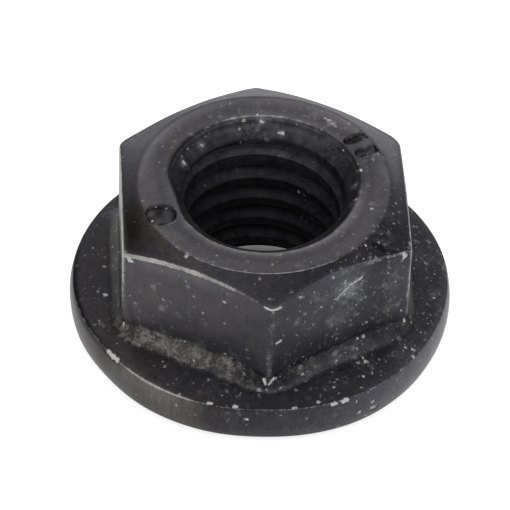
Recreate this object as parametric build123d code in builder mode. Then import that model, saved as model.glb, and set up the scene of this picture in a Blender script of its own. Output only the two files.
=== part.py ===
from build123d import *
import math
import os

# Serrated flange nut, M8 x 1.25, cold formed in one piece.
# The origin is the centre of the bearing face, and +Z runs up the thread axis.
# Two corners of the hexagon point along Y. All lengths are in millimetres.

# Threaded hole, at the thread's minor diameter. The helix itself is left out.
minor_diameter = 6.9
top_countersink_diameter = 9.0
top_countersink_depth = 0.85
bottom_countersink_diameter = 8.7
bottom_countersink_depth = 0.75

# Hexagon. Its flats lean in a little towards the top, as the die leaves them.
nut_height = 7.95
across_flats = 13.0
flat_draft = 1.0
corner_radius = 0.2
crown_diameter = 11.7
crown_angle = 26.0

# Flange. Its rim bulges where the die leaves the metal free, and its underside
# is relieved outside the bearing face.
flange_diameter = 17.6
flange_slope = 14.0
rim_widest_height = 1.2
rim_top_height = 2.1
rim_top_setback = 0.15
rim_foot_setback = 0.15
rim_foot_fillet = 0.25
bearing_setback = 0.85
bearing_relief = 0.3

# Sloping band where each flat runs out into the flange. On a narrow flange it
# takes at most this share of the ledge outside a corner of the hexagon.
band_width = 0.45
band_ledge_share = 0.8

# Serration of the bearing face. Each tooth has a steep side that bites when the
# nut is turned loose, and a ramp that slides when it is tightened.
tooth_count = 30
tooth_height = 0.26
tooth_land = 0.18
plain_ring_width = 0.95

# How far a cutting shape reaches past the metal.
overcut = 0.5

minor_radius = minor_diameter / 2
top_countersink_radius = top_countersink_diameter / 2
bottom_countersink_radius = bottom_countersink_diameter / 2
crown_radius = crown_diameter / 2
flange_radius = flange_diameter / 2
rim_top_radius = flange_radius - rim_top_setback
rim_foot_radius = flange_radius - rim_foot_setback
bearing_radius = flange_radius - bearing_setback
relief_radius = bearing_radius + bearing_relief
corner_reach = across_flats / 2 / math.cos(math.radians(30))

# Each groove of the serration is a point at the edge of the plain ring that
# opens outwards in a straight line, past the bearing face to its relief.
ring_radius = bottom_countersink_radius + plain_ring_width
groove_growth = (relief_radius - ring_radius) / (bearing_radius - ring_radius)
tooth_pitch = 2 * bearing_radius * math.sin(math.pi / tooth_count)
groove_height = tooth_height * groove_growth
groove_width = (tooth_pitch - tooth_land) * groove_growth
ramp_overcut = groove_width * overcut / groove_height

with BuildPart() as groove:
    with BuildSketch(Plane.YZ.offset(relief_radius)) as groove_mouth:
        with BuildLine():
            Polyline(
                (0, groove_height),
                (0, -overcut),
                (groove_width + ramp_overcut, -overcut),
                close=True,
            )
        make_face()
    loft(sections=[groove_mouth.sketch, Vertex(ring_radius, 0, 0)], ruled=True)

with BuildPart() as flange_nut:
    # Flange: half its section, turned about the thread axis.
    flange_apex = rim_top_height + rim_top_radius * math.tan(math.radians(flange_slope))
    with BuildSketch(Plane.XZ) as flange_section:
        with BuildLine():
            Polyline(
                (rim_top_radius, rim_top_height),
                (0, flange_apex),
                (0, 0),
                (bearing_radius, 0),
                (relief_radius, bearing_relief),
                (rim_foot_radius, bearing_relief),
            )
            ThreePointArc(
                (rim_foot_radius, bearing_relief),
                (flange_radius, rim_widest_height),
                (rim_top_radius, rim_top_height),
            )
        make_face()
        rim_foot = flange_section.vertices().group_by(Axis.Y)[1].sort_by(Axis.X)[-1]
        fillet(rim_foot, radius=rim_foot_fillet)
    revolve(axis=Axis.Z)

    # Hexagon, drawn level with the rim and extruded up out of the flange.
    with BuildSketch(Plane.XY.offset(rim_top_height)) as hexagon:
        RegularPolygon(across_flats / 2, 6, major_radius=False, rotation=30)
        fillet(hexagon.vertices(), radius=corner_radius)
    extrude(amount=nut_height - rim_top_height, taper=flat_draft)
    ledge = rim_top_radius - corner_reach
    chamfer(flange_nut.edges(Select.NEW), length=min(band_width, band_ledge_share * ledge))

    # Crown: a wide cone takes the top off the six corners.
    crown_cut_radius = across_flats
    crown_drop = (crown_cut_radius - crown_radius) * math.tan(math.radians(crown_angle))
    with BuildSketch(Plane.XZ) as crown_section:
        with BuildLine():
            Polyline(
                (crown_radius, nut_height),
                (crown_cut_radius, nut_height - crown_drop),
                (crown_cut_radius, nut_height + overcut),
                (crown_radius, nut_height + overcut),
                close=True,
            )
        make_face()
    revolve(axis=Axis.Z, mode=Mode.SUBTRACT)

    # Hole, with a countersink at each end.
    with BuildSketch(Plane.XZ) as hole_section:
        with BuildLine():
            Polyline(
                (0, 0),
                (bottom_countersink_radius, 0),
                (minor_radius, bottom_countersink_depth),
                (minor_radius, nut_height - top_countersink_depth),
                (top_countersink_radius, nut_height),
                (0, nut_height),
                close=True,
            )
        make_face()
    revolve(axis=Axis.Z, mode=Mode.SUBTRACT)

    # Serration: the grooves leave a ring of ratchet teeth.
    with PolarLocations(0, tooth_count):
        add(groove.part, mode=Mode.SUBTRACT)

flange_nut.part.label = "flange_nut"

os.makedirs("parts", exist_ok=True)
export_step(flange_nut.part, "parts/flange_nut.step")
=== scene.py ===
# %% [markdown]
# # A serrated flange nut
#
# The nut is cold formed from a slug of steel wire: one set of dies squeezes
# the hexagon, the flange and the ring of teeth under it, and a tap then cuts
# the thread. A black oxide bath colours it. This notebook dresses the plain
# CAD solid: it makes the skin with its rounded edges, the thread, the teeth,
# the dents, and the thin black finish with its dust and its bright edges.
#
# Lengths below are in millimetres, and the mesh is scaled to metres when it
# is made. The origin is the middle of the bearing face and +Z runs up the
# thread. Angles about the axis start at +X, so the front is at -90 degrees.

# %% Load the frame
import math

import bmesh
import bpy
import numpy as np
from mathutils import Matrix, Vector, noise


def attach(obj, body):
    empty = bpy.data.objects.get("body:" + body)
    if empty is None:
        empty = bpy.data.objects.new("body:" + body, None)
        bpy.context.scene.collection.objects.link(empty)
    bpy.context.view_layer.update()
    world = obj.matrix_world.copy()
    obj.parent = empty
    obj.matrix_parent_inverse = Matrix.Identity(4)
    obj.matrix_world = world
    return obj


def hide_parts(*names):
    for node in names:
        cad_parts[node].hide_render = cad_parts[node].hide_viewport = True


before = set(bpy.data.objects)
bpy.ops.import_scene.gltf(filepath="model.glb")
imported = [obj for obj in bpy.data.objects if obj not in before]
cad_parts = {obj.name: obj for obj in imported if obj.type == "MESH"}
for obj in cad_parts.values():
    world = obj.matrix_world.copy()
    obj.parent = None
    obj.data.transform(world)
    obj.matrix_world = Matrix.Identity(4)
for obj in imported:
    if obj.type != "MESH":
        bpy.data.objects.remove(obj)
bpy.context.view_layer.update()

MM = 0.001

# %% [markdown]
# ## The camera
#
# The camera is 16 cm away with a long lens, which keeps a small part from
# looking swollen. It looks down at about 45 degrees, so that the top face, two
# sides and the flange all show, and is a little out of level.

# %% Place the camera
ELEVATION = math.radians(43.532)
AZIMUTH = math.radians(-94.243)
ROLL = math.radians(2.2174)
DISTANCE = 159.142
ASIDE = -0.2865
ABOVE = 2.4877
FOCAL_IN_FRAMES = 3406.5 / 510
SENSOR = 36.0
NEAREST = 10.0

level = math.cos(ELEVATION)
back = Vector((level * math.cos(AZIMUTH), level * math.sin(AZIMUTH), math.sin(ELEVATION)))
right = Vector((-math.sin(AZIMUTH), math.cos(AZIMUTH), 0))
above = back.cross(right)
place = (back * DISTANCE + right * ASIDE + above * ABOVE) * MM
turned_right = right * math.cos(ROLL) + above * math.sin(ROLL)
turned_above = above * math.cos(ROLL) - right * math.sin(ROLL)
turn = Matrix((turned_right, turned_above, back)).transposed()

camera = bpy.data.objects.new("camera", bpy.data.cameras.new("camera"))
camera.data.sensor_width = SENSOR
camera.data.lens = FOCAL_IN_FRAMES * SENSOR
camera.data.clip_start = NEAREST * MM
camera.matrix_world = Matrix.Translation(place) @ turn.to_4x4()
bpy.context.scene.collection.objects.link(camera)
bpy.context.scene.camera = camera
print("camera", round(camera.data.lens, 1), "mm lens at", [round(c / MM, 1) for c in place])

# %% [markdown]
# ## The nut's sizes
#
# These are the sizes of an M8 x 1.25 nut: 13 mm across the flats, with a
# flange about a third wider. The hexagon leans in a little towards the top, as
# a die needs, and the flange is a low cone with a bulging rim. A sink is a
# countersink, and the band is the slope between the flats and the flange.

# %% Sizes
# The hexagon and its crown.
HEIGHT = 7.95
APOTHEM = 6.5
DRAFT = math.tan(math.radians(0.4))
CROWN_RADIUS = 5.82
CROWN_SLOPE = math.tan(math.radians(26.0))
# The flange, its rim, and the bearing face under it.
FLANGE_SLOPE = math.tan(math.radians(14.0))
FLANGE_RADIUS = 8.8
RIM_RADIUS = 8.65
RIM_TOP = 2.1
RIM_WIDEST = 1.2
BAND = 0.45
FOOT_ROUNDING = 2.8
RELIEF = 0.3
BEARING_RADIUS = 7.95
# The hole: its two countersinks and its thread.
SINK_RADIUS = 4.52
SINK_DEPTH = 0.85
FOOT_SINK_RADIUS = 4.35
FOOT_SINK_DEPTH = 0.75
MINOR_RADIUS = 3.45
MAJOR_RADIUS = 4.0
PITCH = 1.25
print("the flange is", round(FLANGE_RADIUS / APOTHEM, 2), "times the width across the flats")

# %% [markdown]
# ## Rounded sections
#
# The CAD solid could be bevelled, but a cold formed edge is never sharp and
# never the same all round. So the skin is made afresh, as a turner would see
# it: a half section for each of many angles about the axis, each a line whose
# corners have roundings of their own. The distance from the axis to the side
# of a hexagon is a simple formula of the angle, so one grid of points takes in
# the hexagon, the cone that takes off its corners and the round flange.

# %% The hexagon, and a rounded corner
def hexagon_radius(angle, apothem, rounding):
    """Distance from the axis to the side of a hexagon with rounded corners."""
    step = math.pi / 3
    from_flat = (angle + step / 2) % step - step / 2
    from_corner = step / 2 - np.abs(from_flat)
    centre = (apothem - rounding) / math.cos(step / 2)
    inside = np.maximum(rounding**2 - (centre * np.sin(from_corner)) ** 2, 0)
    arc = centre * np.cos(from_corner) + np.sqrt(inside)
    arc_starts = np.arctan((apothem - rounding) * math.tan(step / 2) / apothem)
    return np.where(np.abs(from_flat) > arc_starts, arc, apothem / np.cos(from_flat))


def round_corner(before, corner, after, rounding, count):
    """Points round a corner, from where the rounding leaves one side to where it meets the other."""
    one = before - corner
    two = after - corner
    one = one / np.linalg.norm(one, axis=-1, keepdims=True)
    two = two / np.linalg.norm(two, axis=-1, keepdims=True)
    cosine = np.clip((one * two).sum(-1, keepdims=True), -1, 1)
    reach = np.expand_dims(rounding, -1) * np.sqrt((1 + cosine) / (1 - cosine))
    steps = np.linspace(0, 1, count)
    return [corner + reach * (one * (1 - s) ** 2 + two * s**2) for s in steps]


print("across the corners", round(2 * float(hexagon_radius(math.pi / 6, APOTHEM, 0.2)), 2))

# %% Rows of points down a section
def section_rows(corners):
    """Rows of points down a section, from its corners.

    A corner is (radius, height, rounding, rows round it, rows on the straight
    after it). Gives the rows, and for each the corner it belongs to and how
    far it stands on that corner's ridge.
    """
    width = max(np.size(part) for c in corners for part in c[:2])
    places = [np.stack([np.broadcast_to(part, width) for part in c[:2]], -1) for c in corners]
    arcs = []
    for i, (_, _, rounding, count, _) in enumerate(corners):
        if np.any(rounding):
            arcs.append(round_corner(places[i - 1], places[i], places[i + 1], rounding, count))
        else:
            arcs.append([places[i]])
    made = []
    for i, arc in enumerate(arcs):
        for k, row in enumerate(arc):
            s = k / max(len(arc) - 1, 1)
            made.append((row, i, 4 * s * (1 - s)))
        straight = corners[i][4]
        for k in range(straight):
            s = (k + 1) / (straight + 1)
            made.append((arc[-1] * (1 - s) + arcs[i + 1][0] * s, i, 0.0))
    return [np.array(part) for part in zip(*made)]


# %% [markdown]
# ## Points and faces
#
# The whole skin is one closed mesh, so each part below adds its points and
# faces to the same two lists. Rows with the same columns are joined by
# four-sided faces. Two rings with different numbers of points are sewn by
# triangles: the next one always takes the ring whose next point comes first.

# %% Points and faces of the whole skin
points = []
faces = []


def add_points(radius, angle, height):
    """Adds points given about the axis, and gives their numbers."""
    radius, angle, height = np.broadcast_arrays(radius, angle, height)
    first = sum(len(p) for p in points)
    points.append(np.stack([radius * np.cos(angle), radius * np.sin(angle), height], -1).reshape(-1, 3))
    return (first + np.arange(radius.size)).reshape(radius.shape)


def join_rows(numbers):
    """Four-sided faces between rows of points, each row closed round the axis."""
    for upper, lower in zip(numbers[:-1], numbers[1:]):
        faces.extend(zip(upper, lower, np.roll(lower, -1), np.roll(upper, -1)))


def join_rings(upper, upper_angle, lower, lower_angle):
    """Triangles between two closed rings whose points don't match one for one."""
    i = j = 0
    while i < len(upper) or j < len(lower):
        next_upper = upper_angle[(i + 1) % len(upper)] + math.tau * ((i + 1) // len(upper))
        next_lower = lower_angle[(j + 1) % len(lower)] + math.tau * ((j + 1) // len(lower))
        a, b = upper[i % len(upper)], lower[j % len(lower)]
        if j >= len(lower) or (i < len(upper) and next_upper <= next_lower):
            faces.append((a, b, upper[(i + 1) % len(upper)]))
            i += 1
        else:
            faces.append((a, b, lower[(j + 1) % len(lower)]))
            j += 1


# %% [markdown]
# ## What changes around the nut
#
# The half sections stand at many angles, the columns, closer together at the
# hexagon's corners, where the surface turns, and on the front. No die fills
# evenly and no nut is knocked evenly, so sizes, and later the wear, change
# around the nut. A change is written as a swell, full at one angle and falling
# away on both sides, or as numbers at a few angles.

# %% Columns and swells
COLUMNS_PER_SIDE = {-120: 140, -60: 140, 0: 90, 60: 66, 120: 66, 180: 90}
HALF_SIDE = 30
CROWDING = 0.25

column = []
for middle, count in COLUMNS_PER_SIDE.items():
    t = np.linspace(-1, 1, count, endpoint=False)
    column.append(middle + HALF_SIDE * ((1 + CROWDING) * t - CROWDING * t**3))
column = np.radians(np.sort(np.concatenate(column) % 360))
print(len(column), "columns")


def nearness(value, where, width):
    """One where the value is at its place, falling away smoothly on both sides."""
    return np.exp(-(((value - where) / width) ** 2))


def swell(angle, where, width):
    """The same about an angle, with the place and the width in degrees."""
    off = (np.degrees(angle) - where + 180) % 360 - 180
    return nearness(off, 0, width)


def swells(angle, several):
    """The sum of several swells, each given as (where, width, how much)."""
    return sum(much * swell(angle, where, width) for where, width, much in several)


def around(values):
    """A number for each column, from those given at some angles in degrees."""
    return np.interp(np.degrees(column), list(values), list(values.values()), period=360)


# %% [markdown]
# ## The outside
#
# Top face, crown cone, flats, the sloping band at their foot, flange and rim,
# down to the relief under the rim. The roundings are small where a tool has
# just cut the edge and large where the metal had to flow into the die.

# %% Sizes that change around the nut
LONG_WAY = math.radians(88)
SINK_OVAL = 0.07
CROWN_OVAL = 0.1
SINK_PRESSED = ((-168, 19, 0.36), (-138, 12, 0.07), (-27, 31, 0.2))
RIM_SWELLS = ((-62, 14, 0.065), (10, 18, 0.045), (172, 12, 0.03))
RIM_HOLLOWS = ((-147, 13, -0.09), (-93, 10, -0.05), (-29, 9, -0.04))


def flange_height(radius):
    return RIM_TOP + (RIM_RADIUS - radius) * FLANGE_SLOPE


def sink_radius(angle):
    """The countersink's edge, a little oval, and pressed inward beside the stamps."""
    oval = SINK_OVAL * np.cos(2 * (angle - LONG_WAY))
    return SINK_RADIUS + oval - swells(angle, SINK_PRESSED)


def flat_radius(height):
    """The hexagon at a height, with the lean of its flats."""
    return hexagon_radius(column, APOTHEM - (height - RIM_TOP) * DRAFT, corner_rounding)


rim_stray = swells(column, RIM_SWELLS + RIM_HOLLOWS)
corner_rounding = 0.2 + swells(column, ((-90, 15, 0.12), (30, 12, 0.7), (150, 12, 0.3)))
sink_rounding = 0.24 - 0.16 * swell(column, -95, 52)
crown_rounding = 0.65 - 0.53 * swell(column, -95, 48)
rim_rounding = 0.1 + 0.08 * swell(column, -126, 14)
edge_rounding = around({
    180: 0.16, -158: 0.2, -147: 0.27, -125: 0.28, -108: 0.22, -93: 0.14,
    -80: 0.25, -60: 0.36, -35: 0.25, 0: 0.25, 60: 0.14,
})
print("the rim strays from", round(rim_stray.min(), 3), "to", round(rim_stray.max(), 3))

# %% Where the corners of the section lie
# The cone and the leaning flats meet at a height found by trying it a few times, each nearer.
crown_radius = CROWN_RADIUS + CROWN_OVAL * np.cos(2 * (column - LONG_WAY))
edge_height = np.full(column.shape, HEIGHT - 0.5)
for _ in range(8):
    edge_radius = flat_radius(edge_height)
    edge_height = HEIGHT - (edge_radius - crown_radius) * CROWN_SLOPE
foot_radius = hexagon_radius(column, APOTHEM + BAND, FOOT_ROUNDING)
band_height = flange_height(foot_radius) + BAND * (1 + FLANGE_SLOPE)
band_radius = flat_radius(band_height)

SINK_LIP = 0.1
sink_edge = sink_radius(column)
sink_start = MINOR_RADIUS + (sink_edge - MINOR_RADIUS) * (1 - SINK_LIP / SINK_DEPTH)
bulge = FLANGE_RADIUS - RIM_RADIUS
half_rim = RIM_TOP - RIM_WIDEST
rim_curve = (half_rim**2 + bulge**2) / (2 * bulge)
print("a flat is", round(edge_height.max() - band_height.min(), 2), "high at most")

# %% Make the outside
SINK_WALL, SINK_EDGE, CROWN_EDGE, FLAT_EDGE, BAND_TOP, BAND_FOOT, RIM_EDGE, RIM_WALL = range(8)
rim_corners = [
    (FLANGE_RADIUS + rim_stray - rim_curve + math.sqrt(rim_curve**2 - (z - RIM_WIDEST) ** 2), z, 0, 1, 0)
    for z in RIM_WIDEST + half_rim * np.linspace(0.8, -0.8, 9)
]
corners = [
    # radius, height, rounding, rows round it, rows on the straight after it
    (sink_start, HEIGHT - SINK_LIP, 0, 1, 0),
    (sink_edge, HEIGHT, sink_rounding, 5, 16),
    (crown_radius, HEIGHT, crown_rounding, 6, 5),
    (edge_radius, edge_height, edge_rounding, 6, 26),
    (band_radius, band_height, 0.6, 5, 2),
    (foot_radius, flange_height(foot_radius), 0.42, 6, 11),
    (RIM_RADIUS + rim_stray, RIM_TOP, rim_rounding, 5, 0),
    *rim_corners,
    (RIM_RADIUS + rim_stray, RELIEF, 0.25, 5, 0),
    (BEARING_RADIUS + RELIEF + 0.05, RELIEF, 0, 1, 0),
]
rows, row_corner, row_ridge = section_rows(corners)
outside = add_points(rows[..., 0], column, rows[..., 1])
join_rows(outside)
print("outside:", len(rows), "rows of", len(column), "points")

# %% [markdown]
# ## The tapped hole
#
# The tap is a screw, so the thread is one groove that climbs a pitch each
# turn. A bump pattern on a smooth wall would show no depth at the countersink,
# so the groove is really cut: each column of the hole takes the thread's
# corners at its own height on the helix. Where a countersink cone is wider
# than the thread the cone takes over, and the cut between them gives the
# slanting run-out of a real thread.

# %% The thread's section
CREST = 0.459
ROOT = PITCH / 8
FLANK = (PITCH - CREST - ROOT) / 2

turn_of_corners = np.array([
    (MINOR_RADIUS, -CREST),
    (MINOR_RADIUS, 0),
    (MAJOR_RADIUS, FLANK),
    (MAJOR_RADIUS, FLANK + ROOT),
    (MINOR_RADIUS, PITCH - CREST),
    (MINOR_RADIUS, PITCH),
])
profile = []
for k, rounding in enumerate((0.09, 0.1, 0.1, 0.09)):
    before, corner, after = turn_of_corners[k : k + 3]
    profile += round_corner(before, corner, after, rounding, 3)
print("thread:", len(profile), "points a pitch")

# %% A column of the hole
THREAD_COLUMNS = 240
TURNS = 10
CREST_HEIGHT, CREST_TURN = 5.13, 88.8 / 360
THREAD_START = CREST_HEIGHT - PITCH * (CREST_TURN + TURNS / 2)
HOLE_FOOT = 0.05
HOLE_TOP = HEIGHT - 0.17
BELOW_TOP = np.array([0.7, 0.63, 0.56, 0.48, 0.4, 0.34, 0.28, 0.22])
CONE_LEVELS = (0.2, 0.35, 0.5, *(HEIGHT - BELOW_TOP))
TOO_NEAR = 0.008
PUNCH_TAPER = 0.14
TAPER_START = 5.5
LEVEL = -1
CUT = (-2, 0)


def cone_radius(angle, height):
    """Radius of the widest cone at a height: two countersinks, and the slight taper that the punch leaves."""
    top_growth = (float(sink_radius(angle)) - MINOR_RADIUS) / SINK_DEPTH
    foot_growth = (FOOT_SINK_RADIUS - MINOR_RADIUS) / FOOT_SINK_DEPTH
    top = MINOR_RADIUS + top_growth * (height - HEIGHT + SINK_DEPTH)
    foot = MINOR_RADIUS + foot_growth * (FOOT_SINK_DEPTH - height)
    punched = MINOR_RADIUS + PUNCH_TAPER * (height - TAPER_START)
    return max(top, foot, punched)


def hole_column(angle):
    """The hole's section at an angle, from the foot up: a list of (height, radius, name)."""
    thread = []
    for turn in range(TURNS):
        start = THREAD_START + PITCH * (angle / math.tau + turn)
        thread += [(start + climb, radius, (turn, k)) for k, (radius, climb) in enumerate(profile)]
    heights, radii, _ = zip(*thread)
    proud = [radius - cone_radius(angle, height) for height, radius, _ in thread]
    line = [p for p, d in zip(thread, proud) if d > 0]
    cuts = []
    for one, two, d_one, d_two in zip(thread[:-1], thread[1:], proud[:-1], proud[1:]):
        if (d_one > 0) != (d_two > 0):
            height = one[0] + (two[0] - one[0]) * d_one / (d_one - d_two)
            cuts.append((height, cone_radius(angle, height), CUT))
    line = [p for p in line if all(abs(p[0] - c[0]) > TOO_NEAR for c in cuts)] + cuts
    for level in CONE_LEVELS:
        radius = cone_radius(angle, level)
        clear = all(abs(level - p[0]) > TOO_NEAR for p in line)
        if radius > np.interp(level, heights, radii) and clear:
            line.append((level, radius, (LEVEL, level)))
    line = [p for p in line if HOLE_FOOT + TOO_NEAR < p[0] < HOLE_TOP - TOO_NEAR]
    for z in (HOLE_FOOT, HOLE_TOP):
        line.append((z, max(cone_radius(angle, z), np.interp(z, heights, radii)), (LEVEL, z)))
    return sorted(line)


# %% Make the hole
SAME_CUT = 0.05


def join_columns(one, two):
    """Faces between two columns of (number, height, name), four-sided where the next names are the same."""
    i = j = 0
    while i < len(one) - 1 or j < len(two) - 1:
        number_one, height_one, name_one = one[min(i + 1, len(one) - 1)]
        number_two, height_two, name_two = two[min(j + 1, len(two) - 1)]
        same = name_one == name_two and (name_one != CUT or abs(height_one - height_two) < SAME_CUT)
        if same and i < len(one) - 1 and j < len(two) - 1:
            faces.append((one[i][0], two[j][0], number_two, number_one))
            i, j = i + 1, j + 1
        elif j == len(two) - 1 or (i < len(one) - 1 and height_one <= height_two):
            faces.append((one[i][0], two[j][0], number_one))
            i += 1
        else:
            faces.append((one[i][0], two[j][0], number_two))
            j += 1


def one_turn_on(line):
    """A column as the column before it names its points: the thread has climbed by one turn."""
    return [(number, z, (turn - 1, k) if turn >= 0 else (turn, k)) for number, z, (turn, k) in line]


hole_angle = np.arange(THREAD_COLUMNS) * math.tau / THREAD_COLUMNS
hole = []
for angle in hole_angle:
    line = hole_column(angle)
    numbers = add_points(np.array([p[1] for p in line]), angle, np.array([p[0] for p in line]))
    hole.append([(number, p[0], p[2]) for number, p in zip(numbers, line)])
for line, following in zip(hole, hole[1:] + [one_turn_on(hole[0])]):
    join_columns(line, following)
hole_top = np.array([line[-1][0] for line in hole])
hole_foot = np.array([line[0][0] for line in hole])
join_rings(outside[0], column, hole_top, hole_angle)
print("hole:", sum(len(line) for line in hole), "points")

# %% [markdown]
# ## The serration
#
# A ring of thirty teeth is pressed into the bearing face. Each has a steep
# side, which bites when the nut is turned loose, and a long ramp, which
# slides when it is tightened. The grooves deepen outwards from a point and
# run out into the relief under the rim, so one section across a groove serves
# for all of it: it grows with the distance from the point.

# %% The section across a groove
TEETH = 30
TOOTH_HEIGHT = 0.26
TOOTH_LAND = 0.18
TOOTH_EDGE = 0.03
RING_RADIUS = FOOT_SINK_RADIUS + 0.95
SINK_BREAK = 0.05
GROOVE_LENGTH = BEARING_RADIUS + RELIEF - RING_RADIUS

growth = GROOVE_LENGTH / (BEARING_RADIUS - RING_RADIUS)
groove_height = TOOTH_HEIGHT * growth
groove_width = (2 * BEARING_RADIUS * math.sin(math.pi / TEETH) - TOOTH_LAND) * growth
steep_side = [-TOOTH_EDGE, -0.3 * TOOTH_EDGE, 0.3 * TOOTH_EDGE, 1.5 * TOOTH_EDGE]
steep_rise = [0, 0.04, 0.93, 0.965]
long_ramp = [0.3, 0.6, *(groove_width + TOOTH_EDGE * np.array([-2, 1, 3]))]
ramp_fall = np.interp(long_ramp, [0, groove_width], [1, 0])
across = np.append(steep_side, long_ramp)
up = groove_height * np.append(steep_rise, ramp_fall)
print("a groove is", round(groove_width, 2), "wide and", round(groove_height, 2), "high at its end")

# %% Make the underside
bearing_share = 1 / growth
grown = [0.12, 0.24, 0.4, 0.6, 0.8, bearing_share - 0.01, bearing_share + 0.02, 0.935, 0.97, 1.0]
tooth_start = np.arange(TEETH) * math.tau / TEETH
share, start, side = np.meshgrid(grown, tooth_start, across, indexing="ij")
tooth_radius = RING_RADIUS + share * GROOVE_LENGTH
tooth_angle = start + np.arctan(share * side / tooth_radius)
tooth_height = np.maximum(share * up, tooth_radius - BEARING_RADIUS)
rings = (len(grown), -1)
tooth_angle = tooth_angle.reshape(rings)
underside = add_points(tooth_radius.reshape(rings), tooth_angle, tooth_height.reshape(rings))
join_rows(underside[::-1])

sink_rim = add_points(FOOT_SINK_RADIUS + SINK_BREAK, hole_angle, 0.0)
join_rings(hole_foot, hole_angle, sink_rim, hole_angle)
join_rings(sink_rim, hole_angle, underside[0], tooth_angle[0])
join_rings(underside[-1], tooth_angle[-1], outside[-1], column)
print("underside:", TEETH, "teeth,", underside.size, "points")

# %% [markdown]
# ## Where the finish wears
#
# Black oxide is a skin about a thousandth of a millimetre thick, so it rubs
# through first on the edges, where nuts knock together in the barrel and the
# bag. A shader can't tell which edge or face a point is on, so that is kept
# with the mesh as one number a point, which can be mixed, bent and baked later
# without a picture or a seam. The numbers are given by zone, from the
# countersink outwards and down, and within a zone at a few angles.

# %% Numbers by zone
row_radius, row_height = rows[..., 0], rows[..., 1]
ridge = row_ridge[:, None]
RIM_ZONES = range(RIM_WALL, RIM_WALL + len(rim_corners))


def on(zone):
    """True on the rows of a zone."""
    return (row_corner == zone)[:, None]


def by_zone(values, otherwise):
    """Numbers for the whole outside, from those of its zones. The rim's wall takes those of its edge."""
    made = np.full(outside.shape, otherwise)
    for zone, numbers in values.items():
        zones = [zone, *RIM_ZONES] if zone == RIM_EDGE else [zone]
        made[np.isin(row_corner, zones)] = around(numbers)
    return made


def fade(value, start, end):
    """Goes evenly from 0 to 1 as the value goes from the start to the end."""
    return np.clip((value - start) / (end - start), 0, 1)


def soften(values, reach):
    """Blurs numbers down the section, over a distance for each column."""
    steps = np.linalg.norm(np.diff(rows, axis=0), axis=-1)
    along = np.concatenate([0 * steps[:1], np.cumsum(steps, axis=0)])
    room = np.gradient(along, axis=0)
    made = np.empty(values.shape)
    for k, here in enumerate(along):
        weight = room * nearness(along, here, reach)
        made[k] = (weight * values).sum(0) / weight.sum(0)
    return made


# %% Rubbed edges
WEAR_OF_EDGE = {
    SINK_EDGE: {
        -160: 0.3, -135: 0.5, -90: 0.6, -55: 0.45, -30: 0.2, 0: 0.0,
        35: 0.0, 60: 0.6, 90: 0.85, 115: 0.6, 135: 0.1, 170: 0.0,
    },
    CROWN_EDGE: {
        -160: 0.05, -140: 0.4, -122: 0.5, -110: 0.75, -90: 0.9, -70: 0.6, -52: 0.3, -35: 0.05, 90: 0.05,
    },
    FLAT_EDGE: {
        150: 0.5, 172: 1.2, -155: 1.4, -135: 1.1, -112: 0.95, -103: 0.7, -96: 0.35, -85: 0.3,
        -60: 0.25, -35: 0.6, -5: 0.7, 25: 0.4, 60: 0.3, 120: 0.3,
    },
    RIM_EDGE: {180: 0.3, -145: 0.6, -132: 1.0, -120: 0.9, -108: 0.5, -60: 0.45, -30: 0.35, 90: 0.3},
}
WEAR_OF_CORNERS = {180: 0.4, -150: 0.75, -120: 0.3, -90: 0.3, -60: 0.3, -30: 0.65, 0: 0.4, 90: 0.4}

wear = sum(on(edge) * ridge * around(strength) for edge, strength in WEAR_OF_EDGE.items())
off_corner = np.abs(np.degrees(column) % 60 - 30)
on_side = (row_corner == FLAT_EDGE) & (row_ridge < 0.5)
corner_wear = around(WEAR_OF_CORNERS) * nearness(off_corner, 0, 1.2)
corner_wear = corner_wear * (1 - 0.7 * fade(row_height[on_side], 6.5, 3.0) * swell(column, -150, 40))
wear[on_side] = np.maximum(wear[on_side], corner_wear)
print("wear up to", round(wear.max(), 2))

# %% [markdown]
# ## The tone of the black, with painted light and shade
#
# Each zone has a tone, softened where two zones meet. The tones are partly the
# oxide's own and partly painted light and shade: a zone is set lighter or
# darker around the nut as the light falls on it. A few painted highlights and
# painted shade are laid over it on the top, the sides and the flange.

# %% The tone of each zone, with its painted light and shade
TONE_AND_PAINTED_LIGHT_OF_ZONE = {
    SINK_WALL: {15: 0.68, 50: 0.42, 145: 0.36, 175: 0.6},
    SINK_EDGE: {
        -150: 0.99, -90: 0.87, -30: 0.97, 18: 0.87, 50: 0.97, 90: 1.03, 130: 0.96, 155: 0.9, 175: 0.99,
    },
    CROWN_EDGE: {
        -175: 1.15, -165: 0.9, -155: 1.15, -147: 1.3, -136: 1.4, -122: 1.5, -100: 0.88, -78: 0.72,
        -50: 0.75, -28: 0.62, -8: 1.5, 6: 2.6, 26: 2.9, 55: 2.2, 90: 1.5, 135: 1.9, 152: 2.5, 168: 1.6,
    },
    FLAT_EDGE: {180: 0.9, -145: 1.1, -110: 1.08, -93: 0.88, -85: 0.85, -60: 1.05, -42: 0.52, -20: 1.0},
    BAND_TOP: {180: 0.48, -140: 0.75, -118: 1.3, -100: 0.6, -90: 0.35, -60: 0.75, -40: 0.45, 0: 1.5},
    BAND_FOOT: {180: 0.68, -150: 0.8, -125: 1.2, -95: 1.15, -60: 1.0, -40: 0.85, -10: 0.62, 90: 0.6},
    # The rim's high tone at the front left is a painted highlight.
    RIM_EDGE: {
        180: 1.1, -165: 1.15, -148: 0.85, -138: 2.0, -124: 2.4, -108: 0.68, -90: 0.67,
        -70: 0.98, -50: 1.42, -15: 1.7, 90: 1.2,
    },
}
front_side = swell(column, -95, 52)
tone_and_painted_light = soften(by_zone(TONE_AND_PAINTED_LIGHT_OF_ZONE, 0.7), 0.3 - 0.22 * front_side)
print("tone from", round(tone_and_painted_light.min(), 2), "to", round(tone_and_painted_light.max(), 2))
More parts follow.
